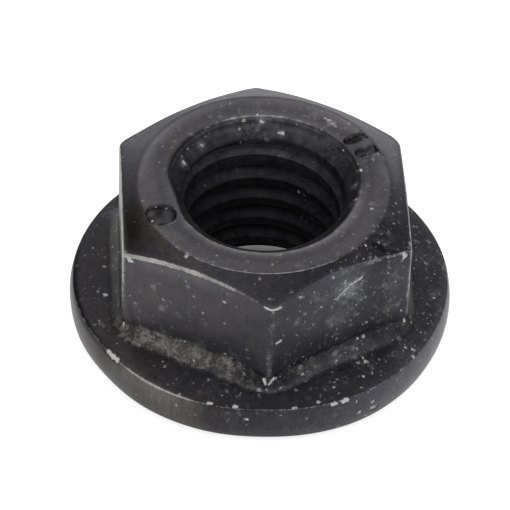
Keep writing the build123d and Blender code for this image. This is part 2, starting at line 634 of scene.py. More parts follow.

# %% Painted light and shade on the top
SINK_EDGE_LIGHT_AND_SHADE = {
    -160: 0.2, -140: 0.7, -110: 1.1, -60: 1.1, -30: 0.6, -10: 0.2, 0: -0.4,
    25: -0.5, 45: 0.2, 90: 0.5, 110: 0.2, 135: -0.5, 172: -0.4, -172: 0.15,
}
RING_MIDDLE = 5.6

# The crown: painted shade on its rounded edge and down its slope at the left,
# painted light down its slope at the back.
tone_and_painted_light -= on(CROWN_EDGE) * ridge * (0.08 * (1 - front_side) + 0.3 * swell(column, 16, 26))
down_crown = fade(row_height, HEIGHT, edge_height) * on(CROWN_EDGE)
tone_and_painted_light -= tone_and_painted_light * np.minimum(1.6 * down_crown, 0.7) * swell(column, -157, 14)
tone_and_painted_light += 0.5 * tone_and_painted_light * down_crown * swell(column, 75, 70)

# The flat ring: a painted highlight along the countersink, painted shade there at some angles,
# a duller line beside it, and the outer part at the right darker.
off_sink = row_radius - sink_edge
edge_light_and_shade = around(SINK_EDGE_LIGHT_AND_SHADE) * nearness(off_sink, 0, 0.17 + 0.2 * swell(column, -28, 20))
tone_and_painted_light += tone_and_painted_light * (edge_light_and_shade - 0.2 * nearness(off_sink, 0.5, 0.22)) * on(SINK_EDGE)
tone_and_painted_light -= 0.36 * tone_and_painted_light * nearness(row_radius, RING_MIDDLE, 0.3) * swell(column, 15, 30)

# %% Painted light and shade on the sides and the flange
# The flats: painted light at the foot of the front two, a painted highlight on the rounded edge
# and one on the shoulder above them.
tone_and_painted_light += 0.3 * fade(row_height, 5.0, 3.0) * on(FLAT_EDGE) * swell(column, -60, 24)
tone_and_painted_light += 0.6 * fade(row_height, 3.9, 2.7) * on(FLAT_EDGE) * swell(column, -75, 50)
tone_and_painted_light += 0.8 * tone_and_painted_light * on(FLAT_EDGE) * ridge * swell(column, -57, 20)
tone_and_painted_light += 0.55 * on(FLAT_EDGE) * nearness(row_height, edge_height - 0.3, 0.4) * swell(column, -125, 26)

# Painted shade at the foot of the band, the rim's painted highlight at the front left fading down
# its wall, and a painted shade line along the rim's edge at the left.
tone_and_painted_light -= 0.35 * tone_and_painted_light * on(BAND_FOOT) * nearness(row_radius, foot_radius, 0.35) * front_side
down_rim = fade(row_height, RIM_TOP, 0) * (row_corner >= RIM_WALL)[:, None]
tone_and_painted_light -= 0.85 * tone_and_painted_light * down_rim**0.7 * swell(column, -129, 16)
rim_shade_line = np.exp(-(((row_radius - RIM_RADIUS) / 0.2) ** 4)) * (row_height > RIM_TOP - 0.22)
tone_and_painted_light -= 0.85 * tone_and_painted_light * rim_shade_line * swell(column, -172, 26)
print("tone from", round(tone_and_painted_light.min(), 2), "to", round(tone_and_painted_light.max(), 2))

# %% [markdown]
# ## The tone of the hole, with painted light and shade
#
# The side of a groove that faces up is set darker than the crests. Both are
# darker further down and at the left and right walls, as painted shade in the
# bore. The root of the topmost groove, where the thread runs out, is painted
# lighter, and the top countersink is painted lighter at the back, in bands of
# painted highlight and shade.

# %% The tone of the hole, with painted light and shade
PAINTED_BANDS_IN_SINK = {7.2: 0.45, 7.33: 0.5, 7.4: 0.85, 7.55: 0.95, 7.62: 1.3, 7.7: 1.3, 7.78: 0.6, 7.84: 0.35}
FLANK_TONE_AND_SHADE = {1.0: 0.38, 4.0: 0.46, 5.4: 0.62, 6.4: 0.85}
CREST_TONE_AND_SHADE = {1.0: 0.7, 4.0: 0.75, 5.4: 0.85, 6.4: 1.3}
FLANK_POINTS = (2, 3, 4)
ROOT_POINTS = (4, 5, 6, 7)
RUN_OUT = 6.5


def by_height(values, height):
    """A number at a height, from those given at some heights."""
    return float(np.interp(height, list(values), list(values.values())))


def tone_and_light_in_hole(angle, height, k):
    """The tone of a point with its painted light and shade, where k is its place in the thread's section."""
    # Painted shade on the left and right walls of the bore.
    share = 1 - swells(angle, ((0, 45, 0.2), (180, 40, 0.2)))
    shaded = 1 - swells(angle, ((0, 55, 0.25), (180, 55, 0.25)))
    if height > HEIGHT - SINK_DEPTH or height < FOOT_SINK_DEPTH:
        # The countersinks: bands of painted highlight and shade at the back, darker at the front right.
        banded = 1 + swell(angle, 95, 60) * (by_height(PAINTED_BANDS_IN_SINK, height) - 1)
        lighter = 0.66 + swells(angle, ((98, 50, 0.26), (58, 18, 0.28)))
        return lighter * banded * (1 - 0.4 * swell(angle, -30, 30))
    # Painted light in the root of the topmost groove.
    if height > RUN_OUT and k in ROOT_POINTS:
        return 1.7 * share * shaded
    # Flanks and crests get darker further down, as painted shade in the bore.
    if k in FLANK_POINTS:
        return share * by_height(FLANK_TONE_AND_SHADE, height)
    return share * shaded * by_height(CREST_TONE_AND_SHADE, height)


hole_tone_and_light = {}
for angle, line in zip(hole_angle, hole):
    for number, height, (_, k) in line:
        hole_tone_and_light[number] = tone_and_light_in_hole(angle, height, k)
print("hole: tone from", round(min(hole_tone_and_light.values()), 2), "to", round(max(hole_tone_and_light.values()), 2))

# %% [markdown]
# ## Dust, scuffs and warmth
#
# A nut from an open bin is never clean. Dust lies as pale specks, more of them
# where fingers left oil. Scuffs are pale scrapes on the band and the foot,
# the parts that stand out when nuts lie in a heap. Warmth is how brown the
# black is.

# %% Dust, scuffs and warmth
DUST_OF_ZONE = {
    SINK_WALL: {0: 0.9},
    SINK_EDGE: {180: 0.2, -90: 0.3, -30: 0.5, 45: 0.6, 100: 0.3},
    CROWN_EDGE: {180: 0.15, -90: 0.3, -45: 0.9, -10: 0.8, 90: 0.3},
    FLAT_EDGE: {180: 0.4, -120: 0.16, -95: 0.25, -80: 0.9, -40: 1.35, 0: 0.5},
    BAND_TOP: {180: 0.6, -120: 0.9, -60: 0.8, 0: 0.6},
    BAND_FOOT: {180: 0.35, -125: 0.7, -95: 0.45, -70: 1.0, -40: 1.3, -10: 1.0, 15: 1.0, 90: 0.5},
    RIM_EDGE: {180: 0.1, -150: 0.05, -105: 0.05, -85: 0.3, -50: 0.45, 90: 0.2},
}
SCUFF_OF_ZONE = {
    SINK_WALL: {0: 0.35},
    BAND_TOP: {
        120: 0.3, 150: 0.5, 165: 0.15, -160: 0.15, -148: 0.8, -140: 1.0,
        -104: 1.0, -95: 0.4, -60: 0.22, -35: 0.05, 0: 0.3,
    },
    RIM_EDGE: {0: 0.04},
}
WARM_OF_ZONE = {
    CROWN_EDGE: {165: 0.1, -165: 0.6, -150: 0.7, -110: 0.3, 90: 0.1},
    FLAT_EDGE: {180: 0.5, -130: 0.3, -95: 0.3, -80: 0.0, 0: 0.2},
    BAND_TOP: {180: 0.5, -120: 0.7, -60: 0.1, 0: 0.3},
    BAND_FOOT: {180: 0.45, -150: 0.45, -110: 0.35, -60: 0.1, 0: 0.3},
    RIM_EDGE: {180: 0.0, -138: 0.7, -115: 0.7, -90: 0.1, 0: 0.0},
}

dust = soften(by_zone(DUST_OF_ZONE, 0.2), 0.1)
scuff = by_zone(SCUFF_OF_ZONE, 0.0)
scuff[(row_corner == BAND_FOOT) & (row_ridge > 0)] = around(SCUFF_OF_ZONE[BAND_TOP])
scuff = soften(scuff, 0.1)
warm = soften(by_zone(WARM_OF_ZONE, 0.3), 0.3)
print("on average: dust", round(dust.mean(), 2), "and scuffs", round(scuff.mean(), 2))

# %% [markdown]
# ## The mesh
#
# All the points and faces become one mesh, and each point keeps its numbers.
# "Moves" marks the points that may stray a little from their true place: not
# those of the thread and the underside.

# %% Meshes and their numbers
def make_mesh(name, points, faces):
    """A mesh object from points in millimetres."""
    mesh = bpy.data.meshes.new(name)
    mesh.from_pydata((points * MM).tolist(), [], [tuple(int(v) for v in f) for f in faces])
    made = bpy.data.objects.new(name, mesh)
    bpy.context.scene.collection.objects.link(made)
    return made


def keep_numbers(mesh, name, values):
    """Keeps one number for each point of a mesh, under a name that a shader can read."""
    layer = mesh.attributes.get(name) or mesh.attributes.new(name, "FLOAT", "POINT")
    layer.data.foreach_set("value", np.ascontiguousarray(values, dtype=np.float32))


def read_numbers(mesh, name):
    values = np.empty(len(mesh.vertices), np.float32)
    mesh.attributes[name].data.foreach_get("value", values)
    return values.astype(float)


def read_points(mesh):
    values = np.empty(3 * len(mesh.vertices))
    mesh.vertices.foreach_get("co", values)
    return values.reshape(-1, 3) / MM


# %% Make the mesh
LOWEST_MOVED = RIM_WALL + 6

nut = make_mesh("nut_body", np.concatenate(points), faces)
moves = (row_corner <= LOWEST_MOVED)[:, None]
outside_and_elsewhere = {
    "wear": (wear, 0.0),
    "tone_and_painted_light": (tone_and_painted_light, 0.55),
    "dust": (dust, 0.05),
    "scuff": (scuff, 0.0),
    "warm": (warm, 0.2),
    "moves": (moves, 0.0),
    "matt": (0.0, 1.0),
}
for name, (values, elsewhere) in outside_and_elsewhere.items():
    spread = np.full(len(nut.data.vertices), elsewhere)
    spread[outside] = values
    if name == "tone_and_painted_light":
        spread[list(hole_tone_and_light)] = list(hole_tone_and_light.values())
    keep_numbers(nut.data, name, spread)
print(len(nut.data.vertices), "points,", len(nut.data.polygons), "faces")

# %% [markdown]
# ## Stamps, nicks and dents
#
# Nuts of this kind carry a stamp or two on the top face, pressed while the
# metal is cold. Here they are plain shapes, a round punch mark and a pair of
# short bars. The rest of the marks are knocks: chips in the rim, bruised
# corners and a few long scratches, with painted shade in one dent and on two
# streaks with no dent under them, and a painted glint in that dent. Each is a
# line with a width, so one formula, the distance to a line, serves for all
# of them.

# %% The marks: ends of a line, half its width, depth, and how light it is
STAMPS = [
    ((-4.74, -2.05), (-4.72, -2.05), 0.68),
    ((4.02, 2.78), (4.72, 3.18), 0.26),
    ((4.52, 1.92), (5.22, 2.32), 0.26),
]
STAMP_DEPTH = 0.13
MARKS = [
    # Chips in the edge and the wall of the rim.
    ((-7.14, -4.76, 2.06), (-6.77, -5.29, 2.05), 0.19, 0.09, 1.0),
    ((-2.72, -8.11, 2.1), (-2.59, -8.15, 2.1), 0.11, 0.05, 0.9),
    ((-1.58, -8.35, 2.1), (-1.45, -8.38, 2.09), 0.12, 0.05, 1.0),
    ((1.05, -8.5, 2.1), (1.18, -8.48, 2.1), 0.1, 0.04, 0.65),
    ((2.84, -8.24, 2.03), (2.98, -8.19, 2.03), 0.14, 0.05, 0.9),
    ((3.3, -8.08, 2.05), (3.5, -8.0, 2.05), 0.16, 0.06, 1.0),
    ((3.96, -7.86, 1.8), (3.96, -7.86, 1.76), 0.1, 0.03, 0.6),
    ((-1.08, -8.66, 1.6), (-1.0, -8.67, 1.59), 0.1, 0.02, 0.8),
    ((-1.04, -8.69, 1.27), (-1.02, -8.69, 1.25), 0.08, 0.01, 0.4),
    ((4.7, -7.48, 0.98), (4.88, -7.38, 0.88), 0.16, 0.09, 0.7),
    # The front corner of the hexagon, from its bruised top to its foot.
    ((-0.3, -7.29, 7.19), (0.07, -7.42, 7.12), 0.1, 0.05, 1.0),
    ((0.07, -7.42, 7.12), (0.41, -7.23, 7.11), 0.1, 0.05, 1.0),
    ((0.07, -7.42, 7.05), (0.12, -7.45, 6.85), 0.07, 0.02, 0.5),
    ((-0.22, -7.42, 2.82), (-0.14, -7.7, 2.51), 0.12, 0.03, 0.9),
    ((0.25, -7.4, 2.88), (-0.02, -7.58, 2.66), 0.11, 0.03, 0.75),
    ((0.3, -7.31, 5.0), (0.46, -7.22, 5.06), 0.12, 0.03, 0.75),
    # No dent under this one: a dark streak of painted shade.
    ((0.45, -7.24, 4.1), (0.25, -7.35, 3.1), 0.35, 0.0, -0.3),
    # The corners at the right and the left.
    # A dent at the right corner, darkened with painted shade.
    ((4.78, -3.92, 7.72), (5.2, -4.0, 7.52), 0.32, 0.08, -0.7),
    ((5.2, -4.0, 7.52), (5.74, -4.01, 7.35), 0.21, 0.05, -0.55),
    # A painted glint in that dent.
    ((5.0, -3.93, 7.6), (5.08, -3.95, 7.57), 0.14, -0.02, 0.7),
    # Chips at the corners.
    ((6.08, -3.93, 7.1), (6.14, -3.92, 6.94), 0.17, 0.04, 0.9),
    ((-6.2, -3.88, 6.98), (-6.08, -3.93, 6.95), 0.15, 0.03, 1.0),
    # No dent under this one: a dark streak of painted shade.
    ((-6.12, -3.97, 4.0), (-5.9, -4.1, 3.1), 0.28, 0.0, -0.35),
    # Chips at the feet of the corners.
    ((-6.48, -3.9, 2.7), (-6.4, -3.82, 2.95), 0.07, 0.02, 0.8),
    ((6.3, -3.8, 3.05), (6.34, -3.86, 2.86), 0.09, 0.02, 0.9),
    # A knock and a scratch that runs down the right front flat.
    ((2.96, -5.77, 6.13), (3.3, -5.57, 6.42), 0.13, 0.004, 0.5),
    ((3.3, -5.57, 6.42), (3.62, -5.38, 6.72), 0.12, 0.004, 0.6),
    ((3.62, -5.38, 6.7), (4.1, -5.1, 6.84), 0.13, 0.006, 0.65),
    ((3.33, -5.54, 7.1), (3.39, -5.51, 6.68), 0.1, 0.004, 0.45),
    ((3.68, -5.35, 6.58), (4.17, -5.07, 6.05), 0.06, 0.002, 0.38),
    ((4.17, -5.07, 6.05), (4.38, -4.95, 5.49), 0.06, 0.002, 0.38),
    ((4.38, -4.95, 5.49), (3.95, -5.2, 5.25), 0.06, 0.002, 0.38),
    # Specks pressed into the top face and the countersink.
    ((3.02, 4.34, 7.95), (3.2, 4.22, 7.95), 0.15, 0.003, 0.45),
    ((3.36, 3.98, 7.95), (3.48, 3.76, 7.95), 0.14, 0.003, 0.5),
    ((0.1, 4.34, 7.8), (0.16, 4.33, 7.8), 0.12, 0.003, 0.8),
    ((0.9, 3.88, 7.52), (1.08, 3.84, 7.5), 0.12, 0.003, 0.65),
    ((-2.72, 3.02, 7.58), (-2.66, 3.0, 7.58), 0.12, 0.003, 0.6),
    ((-3.58, 1.86, 7.58), (-3.52, 1.78, 7.54), 0.13, 0.003, 0.7),
    ((-3.42, 2.6, 7.72), (-3.38, 2.58, 7.7), 0.1, 0.003, 0.7),
    # Bright streaks in the thread.
    ((0.65, 3.4, 6.38), (0.7, 3.42, 6.34), 0.11, 0.003, 0.6),
    ((1.82, 2.93, 4.66), (2.22, 2.64, 4.64), 0.07, 0.002, 0.8),
    ((2.18, 3.13, 3.97), (2.45, 2.98, 3.98), 0.06, 0.002, 0.4),
    ((1.78, 3.01, 5.84), (2.22, 2.71, 5.87), 0.06, 0.002, 0.6),
    ((2.0, 3.26, 5.24), (2.54, 2.92, 5.23), 0.07, 0.002, 0.35),
]
print(len(STAMPS), "stamps and", len(MARKS), "marks")


def line_distance(at, start, end):
    """Distance of each point from the line between two ends."""
    start, end = np.array(start), np.array(end)
    along = end - start
    share = np.clip((at - start) @ along / max(along @ along, 1e-9), 0, 1)
    return np.linalg.norm(at - start - share[:, None] * along, axis=1)


# %% [markdown]
# ## A finer grid near the marks
#
# A dent can only be as sharp as the grid that carries it, and a grid fine
# enough for a chip would be far too heavy everywhere. So only the edges near
# a mark are halved, until each is short enough.

# %% Make the grid finer
ANY_LENGTH = 9.0
SHORTEST = 0.035
STAMP_LENGTH = 0.055
STAMP_REACH = 0.14
TOP_SKIN = 0.15


def allowed_length(at):
    """How long an edge may be at each point: short near a mark, and anything elsewhere."""
    allowed = np.full(len(at), ANY_LENGTH)
    for start, end, width, _, _ in MARKS:
        close = line_distance(at, start, end) < 1.35 * width + 0.03
        allowed[close] = np.minimum(allowed[close], max(SHORTEST, 0.4 * width))
    on_top = at[:, 2] > HEIGHT - TOP_SKIN
    for start, end, width in STAMPS:
        off_edge = np.abs(line_distance(at[:, :2], start, end) - width)
        close = on_top & (off_edge < STAMP_REACH)
        allowed[close] = np.minimum(allowed[close], STAMP_LENGTH)
    return allowed


work = bmesh.new()
work.from_mesh(nut.data)
for _ in range(4):
    ends = np.array([[*edge.verts[0].co, *edge.verts[1].co] for edge in work.edges]) / MM
    middles = (ends[:, :3] + ends[:, 3:]) / 2
    lengths = np.linalg.norm(ends[:, :3] - ends[:, 3:], axis=1)
    too_long = lengths > allowed_length(middles)
    if not too_long.any():
        break
    chosen = [edge for edge, long in zip(work.edges, too_long) if long]
    bmesh.ops.subdivide_edges(work, edges=chosen, cuts=1, use_single_edge=True, use_grid_fill=True)
    bmesh.ops.triangulate(work, faces=[face for face in work.faces if len(face.verts) > 4])
bmesh.ops.recalc_face_normals(work, faces=work.faces)
work.to_mesh(nut.data)
work.free()
print(len(nut.data.vertices), "points after refining")

# %% [markdown]
# ## Pushing in the marks
#
# Each point moves along its own normal. The film flakes off raggedly around a
# mark, so a little noise is added to the distance. "Flake" is how far the film
# is gone: above 0 shows steel. Some of it is painted light instead: a painted
# glint in a dent and painted highlights on the stamps' lips above 0, and
# painted shade below 0, in a dent, on streaks with no dent under them and just
# inside the stamps' edges.

# %% Push in the knocks
def smooth_step(low, high, value):
    s = fade(value, low, high)
    return s * s * (3 - 2 * s)


def waver(at, scale, shift=0.0):
    """Smooth noise from about -1 to 1 at each point."""
    return np.array([noise.noise(Vector(p) * scale + Vector((shift, shift, shift))) for p in at])


at = read_points(nut.data)
normals = np.empty(at.size)
nut.data.vertices.foreach_get("normal", normals)
normals = normals.reshape(-1, 3)
flake_and_painted_light = np.zeros(len(at))
push = np.zeros(len(at))
for start, end, width, depth, light in MARKS:
    near = np.flatnonzero(line_distance(at, start, end) < 1.5 * width)
    ragged = line_distance(at[near], start, end) + 0.35 * width * waver(at[near], 0.9 / width, width)
    push[near] -= depth * (1 - smooth_step(0.3 * width, 1.1 * width, ragged))
    shown = light * (1 - smooth_step(0.3 * width, 1.15 * width, ragged))
    flake_and_painted_light[near] = np.where(np.abs(shown) > np.abs(flake_and_painted_light[near]), shown, flake_and_painted_light[near])
print("knocks up to", round(-push.min(), 3), "deep")

# %% Push in the stamps
LIP_HEIGHT = 0.012

on_top = np.flatnonzero(at[:, 2] > HEIGHT - 0.02)
top = at[on_top]
stamped = np.zeros(len(at))
for start, end, width in STAMPS:
    off = line_distance(top[:, :2], start, end) - width + 0.05 * waver(top, 3.0, width)
    inside = 1 - smooth_step(-0.1, 0.03, off)
    lip = nearness(off, 0.06, 0.06)
    rough = 0.25 * waver(top, 5.0, 2 + width)
    push[on_top] += LIP_HEIGHT * lip - STAMP_DEPTH * inside * (1 + rough)
    stamped[on_top] = np.maximum(stamped[on_top], inside)
    # A painted highlight on each stamp's lip, and painted shade in a ring just inside its edge.
    lip_highlight = 0.4 * lip * smooth_step(-0.1, 0.4, waver(top, 1.6, 5.0))
    flake_and_painted_light[on_top] = np.maximum(flake_and_painted_light[on_top], lip_highlight) - 0.4 * nearness(off, -0.05, 0.06)
print("stamps up to", round(-push.min(), 3), "deep")

# %% Let the faces waver, and write it all back
free = read_numbers(nut.data, "moves") > 0.5
push[free] += 0.010 * waver(at[free], 0.7) + 0.004 * waver(at[free], 2.6, 7.0)
at = at + push[:, None] * normals
nut.data.vertices.foreach_set("co", (at * MM).ravel())
keep_numbers(nut.data, "flake_and_painted_light", flake_and_painted_light)
# The stamps' floors are darker, with painted highlights in patches where shine is high.
shine = np.zeros(len(at))
shine[on_top] = smooth_step(-0.15, 0.5, waver(at[on_top], 1.9, 3.0))
keep_numbers(nut.data, "tone_and_painted_light", read_numbers(nut.data, "tone_and_painted_light") * (1 - stamped * (0.8 - 0.55 * shine)))
keep_numbers(nut.data, "dust", read_numbers(nut.data, "dust") + 0.3 * stamped)
nut.data.attributes.remove(nut.data.attributes["moves"])
nut.data.update()
nut.data.shade_smooth()
nut.data.set_sharp_from_angle(angle=math.radians(38))
print("triangles:", sum(len(face.vertices) - 2 for face in nut.data.polygons))

# %% [markdown]
# ## Smears of dust
#
# Dust is thickest where an oily finger went over the nut, and in the
# countersink, where nothing wipes it off. Each smear is a soft ball with a
# middle and a reach, and the skin takes as much of it as it passes through.

# %% The smears: middle, reach and strength
SMEARS = [
    # The right front flat.
    (3.5, -5.45, 6.4, 0.9, 0.9), (3.2, -5.6, 4.9, 0.9, 0.6), (5.5, -4.3, 5.8, 0.9, 0.5),
    (1.9, -6.3, 5.3, 0.8, 0.4), (2.2, -6.1, 6.6, 0.7, 0.5), (5.5, -4.3, 4.2, 0.6, 0.5),
    (4.05, -5.1, 5.5, 0.3, 0.6), (1.2, -6.8, 5.8, 0.25, 0.9), (2.7, -5.9, 5.0, 0.3, 0.9),
    # The countersink.
    (0.0, 4.1, 7.6, 1.3, 0.46), (0.1, 4.35, 7.8, 0.3, 0.9), (1.0, 3.85, 7.5, 0.22, 1.0),
    (-2.7, 3.0, 7.6, 0.3, 0.9), (-3.6, 1.8, 7.55, 0.28, 1.0), (-0.9, 3.95, 7.5, 0.25, 0.8),
    (4.1, -0.05, 7.73, 0.25, 0.9), (3.95, -1.3, 7.85, 0.4, 0.7), (3.2, 2.4, 7.55, 1.2, 0.4),
    # The band at the foot of the flats.
    (-5.0, -4.8, 2.85, 1.0, 0.3), (-3.0, -5.95, 2.85, 1.0, 0.3), (-1.6, -6.8, 2.8, 0.8, 0.25),
    (1.6, -7.0, 2.7, 0.9, 0.3), (3.6, -5.9, 2.75, 0.9, 0.3), (0.0, -7.45, 4.2, 0.4, 0.35),
    (0.0, -7.5, 2.9, 0.4, 0.6), (-6.6, 4.3, 2.7, 0.7, 1.0), (-6.7, 0.3, 2.9, 0.7, 0.5),
    # The flange.
    (4.4, -6.0, 2.45, 1.0, 0.5), (2.6, -7.2, 2.35, 0.9, 0.4), (0.5, -7.9, 2.3, 0.6, 0.3),
    (7.7, 0.8, 2.35, 0.8, 0.4), (7.9, -1.4, 2.25, 0.8, 0.5), (6.3, -5.2, 2.3, 0.8, 0.4),
    (-7.4, -1.5, 2.4, 1.0, 0.2), (-2.6, -7.3, 2.3, 0.9, 0.4), (-4.3, -6.9, 2.2, 0.5, 0.4),
    # The crown and the top face.
    (5.1, -3.2, 7.5, 0.8, 0.5), (5.5, -2.2, 7.6, 0.6, 0.5), (6.0, 0.3, 7.7, 0.4, 0.4),
    (2.6, 4.6, 7.95, 0.4, 0.5), (3.3, 4.0, 7.95, 0.3, 0.9), (0.0, 5.2, 7.95, 0.5, 0.3),
    # The left front flat.
    (-5.1, -4.5, 5.9, 0.22, 0.8), (-4.7, -4.75, 4.75, 0.25, 0.9), (-4.0, -5.2, 4.7, 0.2, 0.8),
    (-5.8, -4.1, 4.4, 0.2, 0.7), (-2.8, -5.9, 4.8, 0.2, 0.6), (-3.6, -5.4, 6.7, 0.15, 0.9),
    (-4.6, -4.9, 3.4, 0.45, 0.6), (-3.0, -5.8, 3.3, 0.4, 0.6), (-1.6, -6.6, 3.6, 0.45, 0.5),
]

smear = np.zeros(len(at))
for *middle, reach, share in SMEARS:
    smear = np.maximum(smear, share * nearness(np.linalg.norm(at - middle, axis=1), 0, reach))
keep_numbers(nut.data, "smear", smear)
print(len(SMEARS), "smears")

# %% [markdown]
# ## One piece on the frame
#
# The dressed nut takes the place of the plain one, and rides its body.

# %% Ride the frame
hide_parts("flange_nut")
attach(nut, "root")

# %% [markdown]
# ## Shader maths as expressions
#
# A shader is a small calculation made for every point that light meets.
# Wiring it by hand hides the formula, so a value here is a Python object: to
# add or multiply two of them makes the Math node that does it, and the
# formula stays readable.

# %% Values
class Value:
    """A node's output. Arithmetic on it makes Math nodes."""

    def __init__(self, recipe, socket):
        self.recipe = recipe
        self.socket = socket

    def __add__(self, other):
        return self.recipe.math("ADD", self, other)

    def __radd__(self, other):
        return self.recipe.math("ADD", other, self)

    def __sub__(self, other):
        return self.recipe.math("SUBTRACT", self, other)

    def __rsub__(self, other):
        return self.recipe.math("SUBTRACT", other, self)

    def __mul__(self, other):
        return self.recipe.math("MULTIPLY", self, other)

    def __rmul__(self, other):
        return self.recipe.math("MULTIPLY", other, self)

    def __lt__(self, other):
        return self.recipe.math("LESS_THAN", self, other)


# %% [markdown]
# A recipe is one material: node() makes any node, and the rest are short names
# for the kinds that come up again and again. Dust specks come from a Voronoi
# pattern, which gives each of its cells a colour at random: the red says
# whether the cell has a speck, the green how wide it is, and the blue how
# bright. Most real specks are faint, so the blue is cubed.

# %% Recipes
class Recipe:
    """A material's nodes. One method makes any of them."""

    def __init__(self, name):
        self.material = bpy.data.materials.new(name)
        self.material.use_nodes = True
        self.tree = self.material.node_tree
        self.shader = self.tree.nodes["Principled BSDF"]

    def feed(self, node, values):
        """Sets or links a node's inputs, named or numbered."""
        for key, value in values.items():
            if isinstance(value, Value):
                self.tree.links.new(value.socket, node.inputs[key])
            else:
                node.inputs[key].default_value = value

    def node(self, kind, settings, values, output=0):
        """Makes a node of a type, with its settings and its inputs, and gives one of its outputs."""
        made = self.tree.nodes.new(kind)
        for name, setting in settings.items():
            setattr(made, name, setting)
        self.feed(made, values)
        return Value(self, made.outputs[output])

    def math(self, operation, *inputs):
        return self.node("ShaderNodeMath", {"operation": operation}, dict(enumerate(inputs)))

    def ramp(self, value, low, high):
        """Rises smoothly from 0 to 1 as the value goes from low to high."""
        values = {"Value": value, "From Min": low, "From Max": high}
        return self.node("ShaderNodeMapRange", {"interpolation_type": "SMOOTHSTEP"}, values)

    def blend(self, share, one, two):
        """Mixes two colours."""
        return self.node("ShaderNodeMix", {"data_type": "RGBA"}, {0: share, 6: one, 7: two}, 2)

    def attribute(self, name):
        return self.node("ShaderNodeAttribute", {"attribute_name": name}, {}, "Fac")

    def vector(self, operation, values, output=0):
        return self.node("ShaderNodeVectorMath", {"operation": operation}, values, output)

    def noise(self, where, scale, detail=2.0, roughness=0.5):
        values = {"Vector": where, "Scale": scale, "Detail": detail, "Roughness": roughness}
        return self.node("ShaderNodeTexNoise", {}, values)

    def specks(self, where, scale, share, size):
        """Small specks: a share of the cells of a Voronoi pattern has one, few of them bright."""
        cells = {"Vector": where, "Scale": scale}
        distance = self.node("ShaderNodeTexVoronoi", {"feature": "F1"}, cells, "Distance")
        colour = Value(self, distance.socket.node.outputs["Color"])
        chance = self.node("ShaderNodeSeparateColor", {}, {"Color": colour}, "Red")
        girth = Value(self, chance.socket.node.outputs["Green"])
        strength = Value(self, chance.socket.node.outputs["Blue"])
        radius = size * scale * (0.5 + 0.8 * girth)
        shape = (chance < share) * self.ramp(radius - distance, 0.0, 0.75 * size * scale)
        return shape * (0.17 + 0.85 * strength * strength * strength)


# %% [markdown]
# ## Black oxide
#
# The finish is a thin dark film on polished steel, so it reflects like a
# dark metal and has almost no colour of its own: it is set as a metal whose
# reflectance is about 5%. The reflectance varies: slow mottling between a
# blue and a brown black, the tone of each face with its painted light and
# shade, fine grain, and upright streaks where the bath ran off.

# %% Patterns, and the numbers kept with the mesh
oxide = Recipe("black_oxide")
position = oxide.node("ShaderNodeTexCoord", {}, {}, "Object")
where = oxide.vector("SCALE", {"Vector": position, "Scale": 1 / MM})
wide = oxide.noise(where, 0.55, 4.0, 0.6)
patch = oxide.noise(where, 1.9, 5.0, 0.62)
grain = oxide.noise(where, 8.0, 3.0, 0.6)
fine = oxide.noise(where, 24.0, 2.0, 0.5)
tone_and_painted_light_here, wear_here, scuff_here, dust_here, warm_here, flake_and_painted_light_here, smear_here, matt_here = [
    oxide.attribute(name) for name in ("tone_and_painted_light", "wear", "scuff", "dust", "warm", "flake_and_painted_light", "smear", "matt")
]
print("patterns:", len(oxide.tree.nodes), "nodes")

# %% The film
BLUE_BLACK = (0.0505, 0.0505, 0.0595, 1)
BROWN_BLACK = (0.058, 0.052, 0.050, 1)
RUN_OFF = (1.0, 1.0, 0.14)

brown = oxide.ramp(warm_here * 0.9 + patch * 0.9 + wide * 0.7, 0.75, 1.5)
film = oxide.blend(brown, BLUE_BLACK, BROWN_BLACK)
stretched = oxide.vector("MULTIPLY", {0: where, 1: RUN_OFF})
streak = oxide.noise(stretched, 3.5, 4.0, 0.65)
mottle = 0.45 * wide + 0.4 * patch + 0.9 * grain + 0.3 * fine
strength = tone_and_painted_light_here * (mottle + 1.6 * matt_here * (patch - 0.5) + 1.5 * warm_here * (streak - 0.5))
film = oxide.vector("SCALE", {"Vector": film, "Scale": strength})
print("film:", len(oxide.tree.nodes), "nodes")

# %% [markdown]
# ## Wear, dirt and painted light over the black
#
# Over the film come painted shade, rubbed steel, pale scuffs, the haze of
# wiped dust, dust specks of three sizes, and chips with a few painted
# highlights among them. Each is a mask between 0 and 1: the number kept with
# the mesh says where it may lie, and a pattern breaks it up. Haze is drawn out
# along the way the nut was wiped, so its pattern is turned and stretched. The
# specks' pattern is bent a little, or its cells would show.

# %% Masks of the wear and the dirt
WIPED = {"Axis": (0.5, -0.866, 0.0), "Angle": -0.85}
WIPE_STRETCH = (1.0, 1.0, 0.2)
BEND = (0.24, 0.24, 0.24)

rubbed = oxide.ramp(wear_here + 0.8 * (patch - 0.5) + 0.7 * (grain - 0.5) + 0.9 * (streak - 0.5), 0.25, 0.95)
scrape = 1.7 * patch - 0.33 + 0.8 * (grain - 0.5) + 0.4 * (fine - 0.5) + 0.1 * scuff_here
pale = oxide.ramp(scrape, 0.47, 0.85) * scuff_here
slanted = oxide.node("ShaderNodeVectorRotate", {}, {"Vector": where, **WIPED}, "Vector")
rub = oxide.noise(oxide.vector("MULTIPLY", {0: slanted, 1: WIPE_STRETCH}), 4.0, 5.0, 0.7)
cloud = oxide.noise(where, 4.2, 6.0, 0.7)
haze = oxide.ramp(0.5 * cloud + 0.5 * rub + 0.28 * smear_here, 0.52, 0.85) * smear_here
swirl = oxide.node("ShaderNodeTexNoise", {}, {"Vector": where, "Scale": 11.0, "Detail": 2.0}, "Color")
bent = oxide.vector("MULTIPLY_ADD", {0: swirl, 1: BEND, 2: where})
crowd = dust_here * (0.4 + 0.9 * oxide.ramp(patch, 0.35, 0.65)) + smear_here
small = oxide.specks(bent, 5.0, 0.4 * crowd, 0.066)
